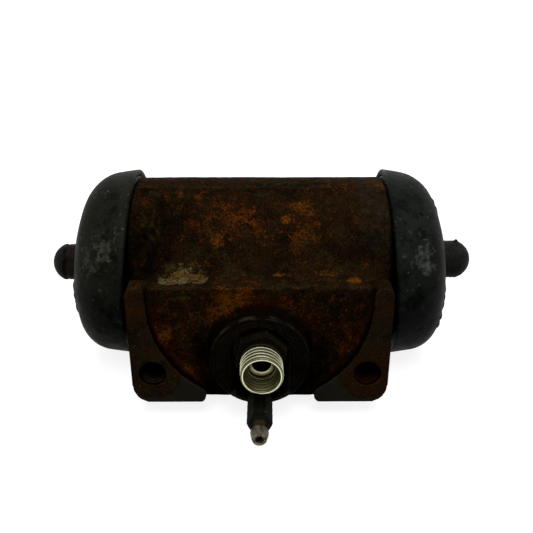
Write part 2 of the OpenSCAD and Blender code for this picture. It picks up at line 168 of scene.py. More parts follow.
def objectSpace(tree):
    return put(tree, "ShaderNodeTexCoord", out="Object")


socketKinds = {float: "Float", int: "Int", tuple: "Color", type(None): "Material"}


def newTree(name, kind, inputs, outputs):
    tree = bpy.data.node_groups.new(name, kind)
    if kind == "GeometryNodeTree":
        tree.interface.new_socket("Geometry", in_out="INPUT", socket_type="NodeSocketGeometry")
    for label, value in inputs.items():
        socket = tree.interface.new_socket(label, in_out="INPUT", socket_type="NodeSocket" + socketKinds[type(value)])
        if value is not None:
            socket.default_value = value
    for label, result in outputs.items():
        tree.interface.new_socket(label, in_out="OUTPUT", socket_type="NodeSocket" + result)
    return tree, addNode(tree, "NodeGroupInput").outputs, addNode(tree, "NodeGroupOutput").inputs


def newMaterial(name, specular, metallic=0.0):
    material = bpy.data.materials.new(name)
    material.use_nodes = True
    tree = material.node_tree
    shader = tree.nodes["Principled BSDF"]
    plug(specular, shader.inputs["Specular IOR Level"])
    plug(metallic, shader.inputs["Metallic"])
    return material, tree, shader, objectSpace(tree)


def dress(shader, colour, rough, height, strength, distance):
    bump = put(colour.id_data, "ShaderNodeBump", {"Height": height, "Strength": strength, "Distance": distance})
    for label, value in (("Base Color", colour), ("Roughness", rough), ("Normal", bump)):
        plug(value, shader.inputs[label])


# Shared surface effects

rustMottle, given, made = newTree("rustMottle", "ShaderNodeTree", {
    "Grain": 1.0, "Seed": 0.0, "Dark": tone(16, 10, 5), "Brown": tone(38, 25, 11), "Olive": tone(37, 33, 18),
    "Red": tone(50, 24, 9), "Orange": tone(98, 56, 8), "Red Share": 0.0, "Orange Share": 0.0},
    {"Color": "Color", "Height": "Float"})
where = objectSpace(rustMottle)


def layer(scale, detail, shift):  # one size of mottling, in spots per metre
    return cloud(where, times(given["Grain"], scale), detail, 0.62, plus(given["Seed"], shift))


def weighed(a, shareA, b, shareB):
    return plus(times(a, shareA), times(b, shareB))


def blot(noise, share, low, high, most):  # spots that spread as their share grows
    return band(plus(noise, times(share, 0.25)), low, high, most)


broad, patch, clump = layer(62, 6, 0.0), layer(190, 6, 3.1), layer(260, 4, 5.3)
speck, fine, pores = layer(1050, 4, 7.7), layer(1300, 4, 9.4), layer(540, 5, 12.6)
bloom = times(blot(weighed(speck, 0.7, patch, 0.3), given["Orange Share"], 0.6, 0.74, 1.0), 0.6)
base = layered(
    given["Dark"], (band(broad, 0.38, 0.6), given["Brown"]), (band(patch, 0.5, 0.62, 0.85), given["Olive"]),
    (blot(weighed(clump, 0.6, fine, 0.4), given["Red Share"], 0.54, 0.64, 0.85), given["Red"]),
    (blot(weighed(clump, 0.55, speck, 0.45), given["Orange Share"], 0.55, 0.74, 0.6), given["Orange"]),
    (bloom, given["Orange"]), (times(band(pores, 0.46, 0.34, 0.7), less(1.0, bloom)), given["Dark"]))
plug(shaded(base, ranged(fine, 0.15, 1.85, 0.3, 0.7)), made["Color"])
plug(weighed(clump, 0.3, speck, 0.5), made["Height"])

dustSpecks, given, made = newTree("dustSpecks", "ShaderNodeTree", {"Scale": 300.0, "Size": 0.22, "Share": 0.2},
                                  {"Mask": "Float"})
cells = addNode(dustSpecks, "ShaderNodeTexVoronoi", {
    "Vector": objectSpace(dustSpecks), "Scale": given["Scale"], "Randomness": 1.0}).outputs
drawn = put(dustSpecks, "ShaderNodeSeparateColor", {0: cells["Color"]})
plug(times(maths("GREATER_THAN", given["Size"], cells["Distance"]), maths("GREATER_THAN", given["Share"], drawn)),
     made["Mask"])

wornEdge, given, made = newTree("wornEdge", "ShaderNodeTree", {"Grain": 400.0, "Start": 0.12, "Full": 0.3},
                                {"Mask": "Float"})
broken = less(cloud(objectSpace(wornEdge), given["Grain"], 4, 0.6), 0.5)
raised = plus(field(wornEdge, "edge"), times(broken, 0.35))
plug(band(raised, given["Start"], given["Full"]), made["Mask"])


def mottled(tree, grain, seed, tones, redShare=0.0, orangeShare=0.0):  # tones: dark, brown, olive, red, orange
    colours = dict(zip(("Dark", "Brown", "Olive", "Red", "Orange"), [tone(*parts) for parts in tones]))
    return addNode(tree, "ShaderNodeGroup", {
        "Grain": grain, "Seed": seed, "Red Share": redShare, "Orange Share": orangeShare, **colours},
        node_tree=rustMottle).outputs


def specks(tree, scale, size, share):
    return put(tree, "ShaderNodeGroup", {"Scale": scale, "Size": size, "Share": share}, node_tree=dustSpecks)


def wear(tree, grain, start, full):
    return put(tree, "ShaderNodeGroup", {"Grain": grain, "Start": start, "Full": full}, node_tree=wornEdge)


print("shared surface effects made")


# Materials

turnedLines = dict(up=-14.3, spacing=1.35)  # round the boss, left by the lathe


def makeCastRust(turned):
    material, tree, shader, where = newMaterial("castRust", 0.005)
    red, orange, machined, shadeAndSoot = [field(tree, name) for name in ("red", "orange", "machined", "shadeAndSoot")]
    rust = mottled(tree, 1.0, 1.0, [(17, 11, 5), (32, 20, 8), (34, 28, 13), (48, 17, 6), (96, 52, 8)], red, orange)
    cut = mottled(tree, 1.3, 5.0, [(23, 17, 9), (38, 29, 16), (38, 35, 21), (46, 26, 12), (64, 38, 11)],
                  red, less(orange, 0.25))
    cracks = put(tree, "ShaderNodeTexVoronoi", {"Vector": where, "Scale": 260.0}, "Distance",
                 feature="DISTANCE_TO_EDGE")
    cream = layered(
        (98, 90, 64), (band(cloud(where, 170, 3, 0.5, 6.0), 0.42, 0.6), (88, 64, 30)),
        (band(cloud(where, 900, 4, 0.7, 3.0), 0.42, 0.66, 0.8), (46, 35, 15)),
        (band(frayed(cracks, where, 700, 0.3, 8.0), 0.09, 0.02, 0.75), (24, 17, 7)))
    chip = frayed(field(tree, "pale"), where, 330, 1.1, 9.0)
    colour = layered(
        rust["Color"], (machined, cut["Color"]),
        (band(frayed(field(tree, "bare"), where, 380, 0.5, 2.0), 0.4, 0.6, 0.8), (40, 38, 31)),
        (band(frayed(field(tree, "lime"), where, 520, 2.2, 4.0), 0.45, 1.0, 0.75), (66, 56, 20)),
        (band(chip, 0.44, 0.5), (14, 11, 6)), (band(chip, 0.52, 0.64), cream),  # a chip has a dark border
        (times(specks(tree, 480.0, 0.14, 0.03), 0.45), (92, 86, 66)))
    crust = times(less(cloud(where, 330, 5, 0.65, 13.0), 0.5), 4.5)  # breaks up the soot and painted shade where they are half thick
    shadeAndSoot = plus(shadeAndSoot, times(crust, times(shadeAndSoot, less(1.0, shadeAndSoot))))
    x, _, z = addNode(tree, "ShaderNodeSeparateXYZ", {0: where}).outputs
    z = less(z, at(0, 0, turned["up"])[2])
    fromAxis = frayed(maths("SQRT", plus(times(x, x), times(z, z))), where, 90, 0.0012, 17.0)
    wave = maths("SINE", times(fromAxis, fullTurn / (turned["spacing"] * mm)))
    lines = times(band(frayed(wave, where, 170, 2.0, 7.0), 0.75, 1.35), field(tree, "turned"))
    # soot and painted shade darken the colour; worn edges and turned lines go on top
    colour = layered(shaded(colour, less(1.0, times(shadeAndSoot, 0.96))),
                     (times(wear(tree, 420.0, 0.16, 0.34), 0.55), (58, 52, 38)), (times(lines, 0.5), (58, 52, 39)))
    dress(shader, colour, ranged(machined, 0.88, 0.62), rust["Height"], 0.7, 0.0005)
    return material


def makeBootRubber(name, dark, base, light, dust, seed):
    material, tree, shader, where = newMaterial(name, 0.015)
    blots = cloud(where, 170, 6, 0.68, seed + 4)
    grain = cloud(where, 950, 5, 0.75, seed + 1)
    smudge = frayed(frayed(field(tree, "dust"), where, 130, 2.6, seed + 2), where, 480, 2.4, seed + 6)
    flecks = frayed(cloud(where, 420, 5, 0.75, seed + 5), where, 60, 0.5, seed + 7)
    dirt = band(frayed(field(tree, "dirt"), where, 420, 1.3, seed + 3), 0.45, 0.7)
    colour = layered(
        base, (band(cloud(where, 48, 6, 0.62, seed), 0.36, 0.62), light), (band(blots, 0.54, 0.38, 0.85), dark),
        (band(smudge, 0.45, 1.15, 0.95), dust), (band(flecks, 0.59, 0.68, 0.7), (70, 71, 63)))
    # painted shade carried by the mesh darkens the boot's underside
    colour = shaded(shaded(colour, ranged(grain, 0.55, 1.45, 0.3, 0.7)), less(1.0, field(tree, "shadeAndSoot")))
    colour = layered(
        colour, (dirt, mixed(band(grain, 0.54, 0.66), (3, 4, 3), (36, 35, 23))),
        (times(specks(tree, 420.0, 0.15, 0.08), 0.4), (92, 92, 84)),
        (times(specks(tree, 370.0, 0.17, 0.1), 0.75), (3, 3, 2)),  # pinholes
        # rubbed edges, partly real wear and partly a painted highlight along the rims
        (times(wear(tree, 300.0, 0.2, 0.5), 0.4), (56, 58, 52)))
    dress(shader, colour, ranged(blots, 0.38, 0.66, 0.3, 0.7), plus(times(grain, 0.4), blots), 0.5, 0.0006)
    return material


def makeRodSteel():
    material, tree, shader, where = newMaterial("rodSteel", 0.03)
    rust = mottled(tree, 1.8, 11.0, [(12, 9, 7), (34, 25, 19), (30, 25, 18), (40, 25, 17), (60, 40, 25)], 0.0, 0.1)
    skin = mottled(tree, 1.4, 14.0, [(15, 16, 13), (33, 33, 30), (28, 29, 25), (30, 27, 24), (56, 53, 47)])
    colour = layered(skin["Color"], (field(tree, "rust"), rust["Color"]), (field(tree, "crack"), (5, 4, 3)))
    dress(shader, colour, ranged(cloud(where, 200), 0.4, 0.7), rust["Height"], 0.4, 0.0004)
    return material


def makeZincPlate():
    material, tree, shader, where = newMaterial("zincPlate", 0.03)
    rust = mottled(tree, 1.2, 21.0, [(6, 5, 2), (16, 12, 6), (15, 13, 7), (24, 13, 5), (42, 27, 9)], 0.0, 0.05)
    grooveShade, innerShade = field(tree, "grooveShade"), band(field(tree, "innerShade"), 0.0, 1.0)
    brown = band(frayed(field(tree, "brown"), where, 500, 0.5, 23.0), 0.35, 0.65)
    # worn edges are real wear; the higher part of the same mask is a painted glint on crests and rims
    worn, paintedGlint = wear(tree, 700.0, 0.16, 0.5), wear(tree, 900.0, 0.6, 0.9)
    plate = layered(
        (98, 96, 69), (band(cloud(where, 260, 4, 0.6, 22.0), 0.35, 0.7), (70, 68, 44)),
        (band(cloud(where, 1100, 4, 0.7, 25.0), 0.53, 0.68, 0.6), (58, 55, 30)),
        (worn, (178, 176, 140)), (paintedGlint, (240, 238, 212)))
    # dark olive painted shade in the undercut behind the cone
    colour = layered(plate, (brown, mixed(times(worn, 0.6), rust["Color"], (58, 46, 28))), (grooveShade, (40, 37, 13)),
                     # nearly black painted shade in the thread roots and inside the bore
                     (innerShade, (5, 5, 2)))
    bright = times(less(1.0, brown), less(1.0, grooveShade))
    plug(times(bright, less(1.0, innerShade)), shader.inputs["Metallic"])
    dress(shader, colour, ranged(brown, 0.28, 0.8), rust["Height"], 0.3, 0.0002)
    return material


def makeBleederSteel():
    material, tree, shader, where = newMaterial("bleederSteel", 0.03)
    dark = mottled(tree, 2.0, 31.0, [(3, 4, 2), (12, 13, 8), (19, 21, 14), (20, 14, 8), (48, 40, 25)], 0.0, 0.15)
    worn = wear(tree, 700.0, 0.12, 0.4)
    clean = band(frayed(field(tree, "bare"), where, 800, 0.6, 33.0), 0.4, 0.62)
    bright = layered((104, 101, 86), (band(cloud(where, 700, 4, 0.6, 32.0), 0.4, 0.62), (52, 45, 31)),
                     (worn, (170, 168, 154)))
    colour = layered(
        dark["Color"], (times(worn, 0.35), (40, 42, 36)), (clean, bright),
        (times(specks(tree, 900.0, 0.28, 0.16), 0.5), (84, 80, 66)),
        (band(field(tree, "rust"), 0.3, 0.8, 0.8), (52, 34, 18)))
    plug(times(clean, 0.6), shader.inputs["Metallic"])
    dress(shader, colour, ranged(clean, 0.7, 0.42), dark["Height"], 0.5, 0.0003)
    return material


def makePlain(name, dark, light, grain, rough, specular, metallic, seed):  # for the pieces inside
    material, tree, shader, where = newMaterial(name, specular, metallic)
    clouds = cloud(put(tree, "ShaderNodeMapping", {"Vector": where, "Scale": (6.0, 1.0, 1.0)}), grain, 5, 0.6, seed)
    colour = mixed(band(clouds, 0.35, 0.65), dark, light)
    dress(shader, colour, ranged(clouds, *rough), clouds, 0.15, 0.0002)
    return material


castRust = makeCastRust(turnedLines)
leftRubber = makeBootRubber("leftBootRubber", (9, 10, 6), (22, 23, 17), (33, 34, 28), (66, 66, 56), 40.0)
rightRubber = makeBootRubber("rightBootRubber", (8, 11, 9), (19, 22, 19), (29, 32, 29), (72, 76, 70), 50.0)
rodSteel, zincPlate, bleederSteel = makeRodSteel(), makeZincPlate(), makeBleederSteel()
pistonMetal = makePlain("pistonMetal", (150, 150, 146), (188, 188, 184), 120, (0.3, 0.5), 0.5, 1.0, 60.0)
cupRubber = makePlain("cupRubber", (20, 20, 20), (30, 30, 30), 200, (0.4, 0.6), 0.3, 0.0, 61.0)
springSteel = makePlain("springSteel", (120, 120, 116), (160, 158, 150), 300, (0.3, 0.5), 0.5, 1.0, 62.0)
washerCopper = makePlain("washerCopper", (26, 16, 9), (44, 26, 15), 300, (0.5, 0.8), 0.05, 0.3, 63.0)
print("materials made")


# Mesh helpers

def linked(name, mesh, material=None):
    obj = bpy.data.objects.new(name, mesh)
    scene.collection.objects.link(obj)
    if material:
        mesh.materials.clear()
        mesh.materials.append(material)
    return obj


def readPoints(mesh):
    co = np.empty(len(mesh.vertices) * 3, np.float32)
    mesh.vertices.foreach_get("co", co)
    return co.reshape(-1, 3).astype(float)


def carry(mesh, name, values):  # a value at each vertex, for materials and trees to read
    layer = mesh.attributes.get(name) or mesh.attributes.new(name, "FLOAT", "POINT")
    layer.data.foreach_set("value", np.ascontiguousarray(values, np.float32).ravel())


def bend(mesh, rounds):  # how far each vertex stands out from its neighbours
    co = readPoints(mesh)
    total = len(co)
    normals = np.empty(total * 3, np.float32)
    mesh.vertex_normals.foreach_get("vector", normals)
    normals = normals.reshape(-1, 3)
    ends = np.empty(len(mesh.edges) * 2, np.int32)
    mesh.edges.foreach_get("vertices", ends)
    a, b = ends.reshape(-1, 2).T
    step = co[b] - co[a]
    step /= np.maximum(np.linalg.norm(step, axis=1), 1e-9)[:, None]
    count = np.maximum(np.bincount(a, minlength=total) + np.bincount(b, minlength=total), 1)
    value = np.bincount(a, -(normals[a] * step).sum(1), total) + np.bincount(b, (normals[b] * step).sum(1), total)
    value = value / count
    for _ in range(rounds):
        around = np.bincount(a, value[b], total) + np.bincount(b, value[a], total)
        value = 0.5 * value + 0.5 * around / count
    return value


def cleaned(mesh, sharp, place=None):  # joins double points, turns faces outwards and smooths up to an angle
    bm = bmesh.new()
    bm.from_mesh(mesh)
    bmesh.ops.remove_doubles(bm, verts=bm.verts, dist=1e-7)
    bmesh.ops.recalc_face_normals(bm, faces=bm.faces)
    if place:
        bm.transform(place)
    bm.to_mesh(mesh)
    bm.free()
    mesh.shade_smooth()
    mesh.set_sharp_from_angle(angle=math.radians(sharp))


def gridMesh(name, points, material, loop, values, sharp):  # rings of points become a turned skin
    rings, steps = points.shape[:2]
    index = np.arange(rings * steps).reshape(rings, steps)
    first = index if loop else index[:-1]
    after = np.roll(index, -1, 0) if loop else index[1:]
    faces = np.stack([first, np.roll(first, -1, 1), np.roll(after, -1, 1), after], -1).reshape(-1, 4)
    mesh = bpy.data.meshes.new(name)
    mesh.from_pydata(points.reshape(-1, 3).tolist(), [], faces.tolist())
    for label, grid in values.items():
        carry(mesh, label, np.broadcast_to(grid, (rings, steps)))
    cleaned(mesh, sharp)
    return linked(name, mesh, material)


def ringAngle(steps):
    return (np.arange(steps) * fullTurn / steps)[None, :]


def turnFrom(angle, degrees):  # the shorter way round, in radians
    return (angle - math.radians(degrees) + math.pi) % fullTurn - math.pi


def boreRings(along, radius, angle, side):  # turned about the bore; angle from the top towards the mounting side
    return np.stack([side * along * mm + 0 * radius, boreY - radius * np.sin(angle) * mm,
                     boreZ + radius * np.cos(angle) * mm], -1)


def mountRings(depth, radius, angle, up):  # turned about an axis that faces the mounting side
    return np.stack([radius * np.sin(angle) * mm, boreY - depth * mm + 0 * radius,
                     boreZ + up * mm + radius * np.cos(angle) * mm], -1)


def turnedRows(rows, angle):  # depth and radius of each row, all round
    radius = np.concatenate([np.broadcast_to(r, angle.shape) for _, r in rows])
    return np.array([depth for depth, _ in rows])[:, None] + 0 * angle, radius


def waves(angle, seed, terms, first=1):  # a seeded ripple round a ring, about -1 to 1
    draw = np.random.default_rng(seed)
    total = np.zeros_like(angle)
    for k in range(first, first + terms):
        total = total + draw.normal() * np.cos(k * angle + draw.uniform(0, fullTurn))
    return total / math.sqrt(terms)


def hexagon(angle, flats, flatAt):  # radius of a hexagon, with a flat at that angle
    return flats / 2 / np.cos((angle - flatAt + math.pi / 6) % (math.pi / 3) - math.pi / 6)


def hexCorner(flats):
    return flats / 2 / math.cos(math.pi / 6)


def applied(obj, allLayers=False):  # the modifiers' result becomes the object's own mesh
    graph = bpy.context.evaluated_depsgraph_get()
    mesh = bpy.data.meshes.new_from_object(obj.evaluated_get(graph), preserve_all_data_layers=allLayers,
                                           depsgraph=graph)
    obj.modifiers.clear()
    obj.vertex_groups.clear()
    obj.data = mesh
    return obj


def plainMesh(obj, tree, values):  # runs a geometry tree on an object
    modifier = obj.modifiers.new(tree.name, "NODES")
    modifier.node_group = tree
    for item in tree.interface.items_tree:
        if item.item_type == "SOCKET" and item.in_out == "INPUT" and item.name in values:
            modifier[item.identifier] = values[item.name]
    return applied(obj, True)


# Camera, floor and light

cameraPlace = dict(x=2.65, depth=293.0, up=133.5, tilt=25.0, roll=-0.12, focal=700.0, frameWidth=533.0, sensor=36.0)
lightPlan = dict(world=0.26, lamps=dict(  # place, power and size
    topBox=((0.05, -0.32, 1.05), 9.5, 0.9), leftBox=((-0.95, 0.05, 0.3), 0.8, 0.5),
    rightBox=((0.95, 0.05, 0.3), 0.8, 0.5), backBox=((0.0, 1.0, 0.2), 3.5, 0.5)))

camera = bpy.data.objects.new("camera", bpy.data.cameras.new("camera"))
scene.collection.objects.link(camera)
camera.data.sensor_width = cameraPlace["sensor"]
camera.data.lens = cameraPlace["focal"] / cameraPlace["frameWidth"] * cameraPlace["sensor"]
camera.data.clip_start, camera.data.clip_end = 0.01, 50
camera.matrix_world = (Matrix.Translation(at(cameraPlace["x"], cameraPlace["depth"], cameraPlace["up"]))
                       @ Matrix.Rotation(math.radians(90 - cameraPlace["tilt"]), 4, "X")
                       @ Matrix.Rotation(math.radians(cameraPlace["roll"]), 4, "Z"))
scene.camera = camera
scene.view_settings.view_transform = "Standard"


def seenDirectly(tree):  # 1 for what the camera, a reflection or a refraction sees
    path = addNode(tree, "ShaderNodeLightPath").outputs
    return maths("MAXIMUM", maths("MAXIMUM", path["Is Camera Ray"], path["Is Glossy Ray"]), path["Is Transmission Ray"])


def emptyTree(owner):
    owner.use_nodes = True
    owner.node_tree.nodes.clear()
    return owner.node_tree


def eitherShader(share, a, b):
    return put(share.id_data, "ShaderNodeMixShader", {0: share, 1: a, 2: b})


scene.world = bpy.data.worlds.new("studio")
tree = emptyTree(scene.world)
backdrop = put(tree, "ShaderNodeBackground", {"Color": white, "Strength": 1.0})
fill = put(tree, "ShaderNodeBackground", {"Color": white, "Strength": lightPlan["world"]})
addNode(tree, "ShaderNodeOutputWorld", {"Surface": eitherShader(seenDirectly(tree), fill, backdrop)})

floorMesh = bpy.data.meshes.new("floor")
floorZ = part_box("left_boot")[0].z - 0.0003
floorMesh.from_pydata([(-6, -4, floorZ), (6, -4, floorZ), (6, 8, floorZ), (-6, 8, floorZ)], [], [(0, 1, 2, 3)])
floorMaterial = bpy.data.materials.new("paleFloor")
tree = emptyTree(floorMaterial)
paper, bounced = [put(tree, "ShaderNodeBsdfDiffuse", {"Color": (grey, grey, grey, 1)}) for grey in (0.4, 0.06)]
away = put(tree, "ShaderNodeVectorMath", {0: objectSpace(tree)}, "Value", operation="LENGTH")
glow = put(tree, "ShaderNodeEmission", {"Color": white, "Strength": plus(band(away, 0.2, 0.6, 0.2), 0.85)})
lit = put(tree, "ShaderNodeAddShader", {0: paper, 1: glow})
above = eitherShader(seenDirectly(tree), bounced, lit)
fromBelow = put(tree, "ShaderNodeNewGeometry", out="Backfacing")
addNode(tree, "ShaderNodeOutputMaterial", {
    "Surface": eitherShader(fromBelow, above, put(tree, "ShaderNodeBsdfTransparent"))})
floor = linked("floor", floorMesh, floorMaterial)


def softbox(name, place, power, size):
    lamp = bpy.data.lights.new(name, "AREA")
    lamp.shape, lamp.size, lamp.energy = "SQUARE", size, power
    obj = bpy.data.objects.new(name, lamp)
    scene.collection.objects.link(obj)
    aim = Vector(at(0, 0, 0)) - Vector(place)
    obj.location = place
    obj.rotation_mode = "QUATERNION"
    obj.rotation_quaternion = aim.to_track_quat("-Z", "Y")


for name, lamp in lightPlan["lamps"].items():
    softbox(name, *lamp)
print("camera, floor and light made")


# Thread and spring coils follow a helix

def geometryTree(name, inputs):
    return newTree(name, "GeometryNodeTree", inputs, {"Geometry": "Geometry"})


def helixOf(given, height):
    return put(height.id_data, "GeometryNodeCurveSpiral", {
        "Resolution": given["Steps"], "Rotations": given["Turns"], "Start Radius": given["Radius"],
        "End Radius": given["Radius"], "Height": height})


def closeTree(skin, given, made):
    skin = put(skin.id_data, "GeometryNodeRealizeInstances", {"Geometry": skin})
    plug(put(skin.id_data, "GeometryNodeSetMaterial", {"Geometry": skin, "Material": given["Material"]}),
         made["Geometry"])


def swept(path, profile):
    return put(path.id_data, "GeometryNodeCurveToMesh", {"Curve": path, "Profile Curve": profile, "Fill Caps": True})


threadCoil, given, made = geometryTree("threadCoil", {
    "Radius": 0.008, "Pitch": 0.0015, "Turns": 8.0, "Depth": 0.0009, "Foot": 0.98, "Crest": 0.15, "Steps": 64,
    "Material": None})
helix = put(threadCoil, "GeometryNodeSetCurveNormal", {
    "Curve": helixOf(given, times(given["Pitch"], given["Turns"]))}, mode="Z_UP")


def corner(across, out):
    return put(threadCoil, "ShaderNodeCombineXYZ", {0: out, 1: across})


ridgeOut = times(given["Depth"], -1.0)
halfFoot, halfCrest = [times(times(given["Pitch"], given[share]), 0.5) for share in ("Foot", "Crest")]
ridge = put(threadCoil, "GeometryNodeCurvePrimitiveQuadrilateral", {
    "Point 1": corner(times(halfFoot, -1.0), 0.0), "Point 2": corner(halfFoot, 0.0),
    "Point 3": corner(halfCrest, ridgeOut), "Point 4": corner(times(halfCrest, -1.0), ridgeOut)}, mode="POINTS")
closeTree(swept(helix, ridge), given, made)

springCoil, given, made = geometryTree("springCoil", {
    "Radius": 0.0117, "Wire": 0.0011, "Turns": 3.5, "Long": 0.0167, "Steps": 48, "Material": None})
wire = put(springCoil, "GeometryNodeCurvePrimitiveCircle", {"Resolution": 14, "Radius": given["Wire"]})
closeTree(swept(helixOf(given, given["Long"]), wire), given, made)


def coil(name, tree, values, place):
    obj = plainMesh(linked(name, bpy.data.meshes.new(name)), tree, values)
    cleaned(obj.data, 34, place)
    return obj


def facing(x, depth, up):  # lays a coil made along Z so that it runs towards the mounting side
    return Matrix.Translation(at(x, depth, up)) @ Matrix.Rotation(math.radians(90), 4, "X")


# Cast body: a skin over the CAD casting, with soft edges, cast grain, pits and chips

castBody = dict(
    voxel=0.55, softRounds=2, mostTriangles=186000, boreR=28.7, neckR=36.2, shoulderAt=54.2, holeX=42.2,
    holeUp=-21.0, holeR=5.175, threadR=6.05, mountFace=61.6, recessFace=54.1, bossUp=-14.3, bossR=19.3,
    recessR=43.0, recessUp=8.4,
    # x, depth, up, size and strength
    orangeSpots=[(-33.9, 12.3, 35.9, 3.2, 0.25), (-34.3, 17.9, 33.5, 3.4, 0.35), (-25.3, 15.3, 34.8, 6, 0.25),
        (-14, 22.4, 30.7, 9, 0.3), (-10.3, 25, 28.7, 6, 0.35), (-22.5, 26.9, 26.8, 6, 0.35),
        (-17.1, 30.3, 22.9, 3, 0.75), (-5, 25, 28.7, 4, 0.3), (0.8, 29, 24.6, 4, 0.3), (11, 23.9, 29.6, 2.6, 0.8),
        (17, 18.9, 33, 4, 0.6), (20.6, 21.1, 31.6, 3, 0.5), (16, 29, 24.5, 6, 0.35), (21.1, 30.3, 22.9, 5, 0.3),
        (51.6, 4.4, 37.7, 4, 0.5), (34.1, 6.3, 37.5, 4, 0.3), (6.8, 42, 12.7, 1.8, 0.9), (37.2, 47, 12.6, 2.6, 1.2),
        (28, 41, 12.7, 4, 0.35), (-37.4, 54.1, -7.7, 4, 0.6), (-30.6, 54.1, -4.5, 6.5, 0.22),
        (-25.3, 54.1, -0.1, 6, 0.25), (-17.4, 54.1, 1.3, 5, 0.55), (-13.4, 54.1, 7.9, 5, 0.7),
        (-7.6, 54.1, 7.9, 5, 0.85), (-11.5, 54.1, 4.4, 5.5, 0.85), (11.7, 54.1, 5.2, 5, 0.3),
        (17.5, 54.1, 3.5, 7, 0.2), (28, 54.1, -4, 8, 0.15), (35, 54.1, -8, 7, 0.22), (31, 54.1, 4, 7, 0.1),
        (-30.4, 54.1, -24.1, 3.5, 0.7), (-35, 54.1, 2, 6, 0.2), (-47.5, 61.6, 8, 5, 0.75), (-49, 61.6, -2, 4, 0.45),
        (47, 61.6, 7, 4, 0.5), (-36, 61.6, -28, 3, 0.5)],
    # x, depth, up, the three sizes and strength
    paleSpots=[(-36, 47, 12.6, 5.5, 5, 6, 1), (-30.5, 43, 13.2, 6.8, 8, 6, 1.1), (-31.5, 38.5, 14.5, 5, 4, 5, 0.8),
        (-24, 45, 12.8, 4.6, 6, 6, 0.95), (30.3, 61.6, -20.1, 0.9, 1, 0.9, 0.9),
        (33.8, 61.6, -27.6, 1, 1, 0.8, 0.8), (-47.6, 61.6, -26.4, 0.8, 1, 0.7, 0.8),
        (-45.6, 61.6, -27.4, 0.7, 1, 0.6, 0.7), (36.8, 61.6, -25.4, 0.9, 1, 0.7, 0.8)],
    limeSpots=[(-31, 38.5, 14.6, 9.5, 4.5, 4, 1.1), (-37.5, 43, 12.8, 4, 4, 3, 0.9), (-23, 40, 14, 5, 3, 3, 0.7),
        (-33.5, 54.1, 8.6, 2.6, 2, 2.4, 0.8), (-29.5, 54.1, 9.5, 8, 2, 3.5, 0.6), (-46, 26, 25, 9, 14, 14, 0.7)],
    redSpots=[(-12, 22, 31, 16, 12, 12, 0.4), (16, 24, 29, 10, 10, 10, 0.35), (20, 12, 36, 30, 5, 5, 0.15),
        (0, 54.1, 6.5, 14, 3, 3.5, 0.8), (16, 54.1, -2, 8, 3, 8, 0.6), (38, 54.1, -10, 7, 3, 9, 0.6),
        (-47.5, 61.6, 9, 6, 2, 6, 0.9), (48, 61.6, 8, 6, 2, 6, 0.5)],
    # dark patches: painted shade on the barrel next to the boots, beside the boss and along the bottom of the recess,
    # and a darker left end of the barrel
    shadeAndSootSpots=[(-48, 30, 22, 13, 17, 15, 0.86), (-49, 47, 12.7, 7, 8, 5, 0.97), (-46, 40, 15, 9, 9, 8, 0.8),
        (50, 48, 13, 6, 8, 5, 0.7), (-37, 24, 29, 13, 14, 12, 0.45), (46, 30, 20, 8, 10, 10, 0.45),
        (-22, 54.1, -31, 12, 5, 8, 0.95), (23, 54.1, -29, 12, 5, 10, 0.95), (23, 54.1, -15, 5, 4, 10, 0.8),
        (-22.5, 54.1, -15, 4, 4, 10, 0.9)])

castSkin, given, made = geometryTree("castSkin", {
    "Grain Scale": 330.0, "Grain Height": 0.0004, "Swell Scale": 60.0, "Swell Height": 0.0006, "Pit Scale": 520.0,
    "Pit Depth": 0.00035, "Chip Depth": 0.0004, "Material": None})


def named(name):
    return put(castSkin, "GeometryNodeInputNamedAttribute", {"Name": name}, data_type="FLOAT")


place = put(castSkin, "GeometryNodeInputPosition")
grain = less(cloud(place, given["Grain Scale"], 4, 0.6, 1.0), 0.5)
swell = less(cloud(place, given["Swell Scale"], 2, 0.5, 2.0), 0.5)
pits = band(cloud(place, given["Pit Scale"], 3, 0.6, 3.0), 0.56, 0.7)
chips = band(plus(named("pale"), less(cloud(place, 420, 5, 0.6, 9.0), 0.5)), 0.5, 0.62)
rough = plus(times(grain, given["Grain Height"]), times(swell, given["Swell Height"]))
rough = times(less(rough, times(pits, given["Pit Depth"])), named("coarse"))
offset = put(castSkin, "ShaderNodeVectorMath", {
    0: put(castSkin, "GeometryNodeInputNormal"), "Scale": less(rough, times(chips, given["Chip Depth"]))},
    operation="SCALE")
closeTree(put(castSkin, "GeometryNodeSetPosition", {"Geometry": given["Geometry"], "Offset": offset}), given, made)


def triangles(mesh):
    return sum(len(p.vertices) - 2 for p in mesh.polygons)


def thinned(obj, target, chosen=None):  # collapses triangles, only among the chosen vertices where some are
    thin = obj.modifiers.new("thin", "DECIMATE")
    thin.use_collapse_triangulate, thin.ratio = True, min(1.0, target / triangles(obj.data))
    if chosen is not None:
        group = obj.vertex_groups.new(name="thin")
        group.add(np.nonzero(chosen)[0].tolist(), 1.0, "REPLACE")
        thin.vertex_group, thin.vertex_group_factor = "thin", 10.0
    applied(obj)


